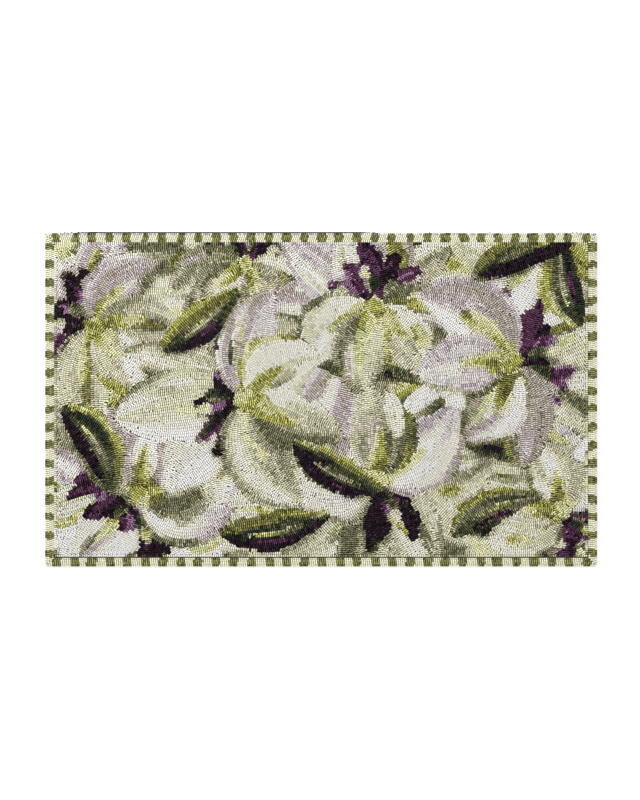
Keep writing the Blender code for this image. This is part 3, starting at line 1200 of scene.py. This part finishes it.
def wool(name):
    """Matte heathered wool: loops lighter or darker, painted shade low in the pile, fibres in the surface.

    Dark yarns vary more from loop to loop than pale ones, and the painted shade between the loops is weaker on
    pale ones.
    """
    yarn = YARNS[name]
    paleness = sum(yarn) / (3 * 255)
    shader = Shader(f"wool_{name}", roughness=0.95, scatter=smooth_step((paleness - 0.68) / 0.25) * 0.8)
    spread = 0.02 + 1.12 * (1 - paleness)
    place = shader.place()
    heather = shader.noise(place, 1500.0, detail=4.0, rough=0.7)
    share = (shader.tone() * 0.7 + heather * 1.4 - 0.55).clamped()
    lift = 1 + 2.0 * paleness * (1 - paleness)
    dark, light = linear(yarn, lift * (1 - spread)), linear(yarn, lift * (1 + spread), lint=0.02)
    height = shader.node("ShaderNodeSeparateXYZ", {}, {"Vector": place}, "Z")
    top = FIELD_TOP if name in FIELD_YARNS else BORDER_TOP
    # Painted shade between the loops: low in the pile the colour goes over to a darker copy of the yarn,
    # darkest for dark yarns
    out_of_painted_shade = ((height - (top - PAINTED_SHADE_DEPTH)) / PAINTED_SHADE_FADE).clamped()
    painted_shade_colour = linear(yarn, 0.02 + 0.98 * smooth_step((paleness - 0.35) / 0.65))
    shader.colour(shader.mix(out_of_painted_shade, painted_shade_colour, shader.mix(share, dark, light)))
    fibres = shader.noise(place, 1300.0, detail=5.0, rough=0.75)
    lumps = shader.noise(place, 420.0)
    shader.bump(fibres * 0.65 + lumps * 0.35, strength=1.0, distance=0.0014)
    return shader.material


def canvas():
    """Unbleached plain weave, seen on the underside and low between the loops."""
    shader = Shader("canvas", roughness=0.95)
    place = shader.place()
    woven = shader.ribs(place, "X") * shader.ribs(place, "Y")
    slub = shader.noise(place, 60.0, detail=4.0)
    share = (woven * 0.6 + slub * 0.4).clamped()
    shader.colour(shader.mix(share, linear((138, 124, 96)), linear((205, 193, 164))))
    shader.bump(woven, strength=0.6, distance=0.0004)
    return shader.material


def thread():
    """Dark violet thread that is dyed unevenly and pales to lavender, with a fine twist."""
    shader = Shader("overcast_thread", roughness=0.8, sheen=0.1)
    place = shader.place()
    lint = shader.noise(place, 900.0, detail=3.0)
    share = (shader.tone() * 0.9 + lint * 0.3 - 0.26).clamped()
    shader.colour(shader.mix(share, linear((22, 16, 32)), linear((164, 152, 182))))
    shader.bump(shader.noise(place, 2500.0), strength=0.3, distance=0.0003)
    return shader.material


# The floor, the light and the camera

# Where the rug lies in the photo's frame, in pixels
PHOTO_WIDTH, PHOTO_HEIGHT = 640, 800
RUG_LEFT_PX, RUG_RIGHT_PX = 44.7, 597.5
RUG_TOP_PX, RUG_BOTTOM_PX = 232.6, 566.2
LENS_MM, SENSOR_MM = 85.0, 36.0

# The floor is a lit studio table, so the rug's shadow on it stays faint
FLOOR_GLOW = 0.32
FLOOR_SIZE = 60
FLOOR_DROP = 0.0005

# Soft light from all round, stronger light from the far side and a little from the near side
ROOM_LIGHT = 0.83
KEY_LIGHT = dict(place=(-1.1, 2.5, 3.3), size=1.4, power=111.0)
FILL_LIGHT = dict(place=(1.6, -2.4, 3.4), size=2.4, power=15.0)


def make_floor():
    bpy.ops.mesh.primitive_plane_add(size=FLOOR_SIZE, location=(0, 0, -FLOOR_DROP))
    floor = bpy.context.object
    floor.name = "floor"
    shader = Shader("pale_floor", roughness=0.9)
    shader.colour((0.93, 0.93, 0.93, 1.0))
    shader.surface.inputs["Emission Strength"].default_value = FLOOR_GLOW
    floor.data.materials.append(shader.material)


def soft_light(name, place, size, power):
    """A square light that points at the middle of the rug."""
    data = bpy.data.lights.new(name, "AREA")
    data.size, data.energy = size, power
    light = bpy.data.objects.new(name, data)
    light.location = place
    length = math.sqrt(sum(axis * axis for axis in place))
    tilt = math.acos(place[2] / length)
    light.rotation_euler = (tilt, 0, math.atan2(place[0], -place[1]))
    bpy.context.scene.collection.objects.link(light)


def make_lights():
    world = bpy.data.worlds.new("studio")
    bpy.context.scene.world = world
    world.use_nodes = True
    background = world.node_tree.nodes["Background"]
    background.inputs["Color"].default_value = (1.0, 1.0, 1.0, 1.0)
    background.inputs["Strength"].default_value = ROOM_LIGHT
    soft_light("key", **KEY_LIGHT)
    soft_light("fill", **FILL_LIGHT)
    bpy.context.scene.view_settings.view_transform = "Standard"


def make_camera():
    """Straight above the rug, as far off as a long lens needs for the photo's frame."""
    metres_a_pixel = 2 * HALF_X / (RUG_RIGHT_PX - RUG_LEFT_PX)
    middle_x = (RUG_LEFT_PX + RUG_RIGHT_PX) / 2
    middle_y = (RUG_TOP_PX + RUG_BOTTOM_PX) / 2
    data = bpy.data.cameras.new("camera")
    data.lens, data.sensor_width = LENS_MM, SENSOR_MM
    distance = PHOTO_HEIGHT * metres_a_pixel * LENS_MM / SENSOR_MM
    camera = bpy.data.objects.new("camera", data)
    camera.location = (
        (PHOTO_WIDTH / 2 - middle_x) * metres_a_pixel,
        (middle_y - PHOTO_HEIGHT / 2) * metres_a_pixel,
        BORDER_TOP + distance,
    )
    bpy.context.scene.collection.objects.link(camera)
    bpy.context.scene.camera = camera


make_camera()
make_lights()
make_floor()
yarn_pieces = hook_rug()
ground_cloth = make_ground_cloth()
whipped_edge = make_whipped_edge()

for piece in yarn_pieces:
    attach(piece, "root")
    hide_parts("pile")
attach(ground_cloth, "root")
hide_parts("pile")
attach(whipped_edge, "root")
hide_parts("whipped_edge")
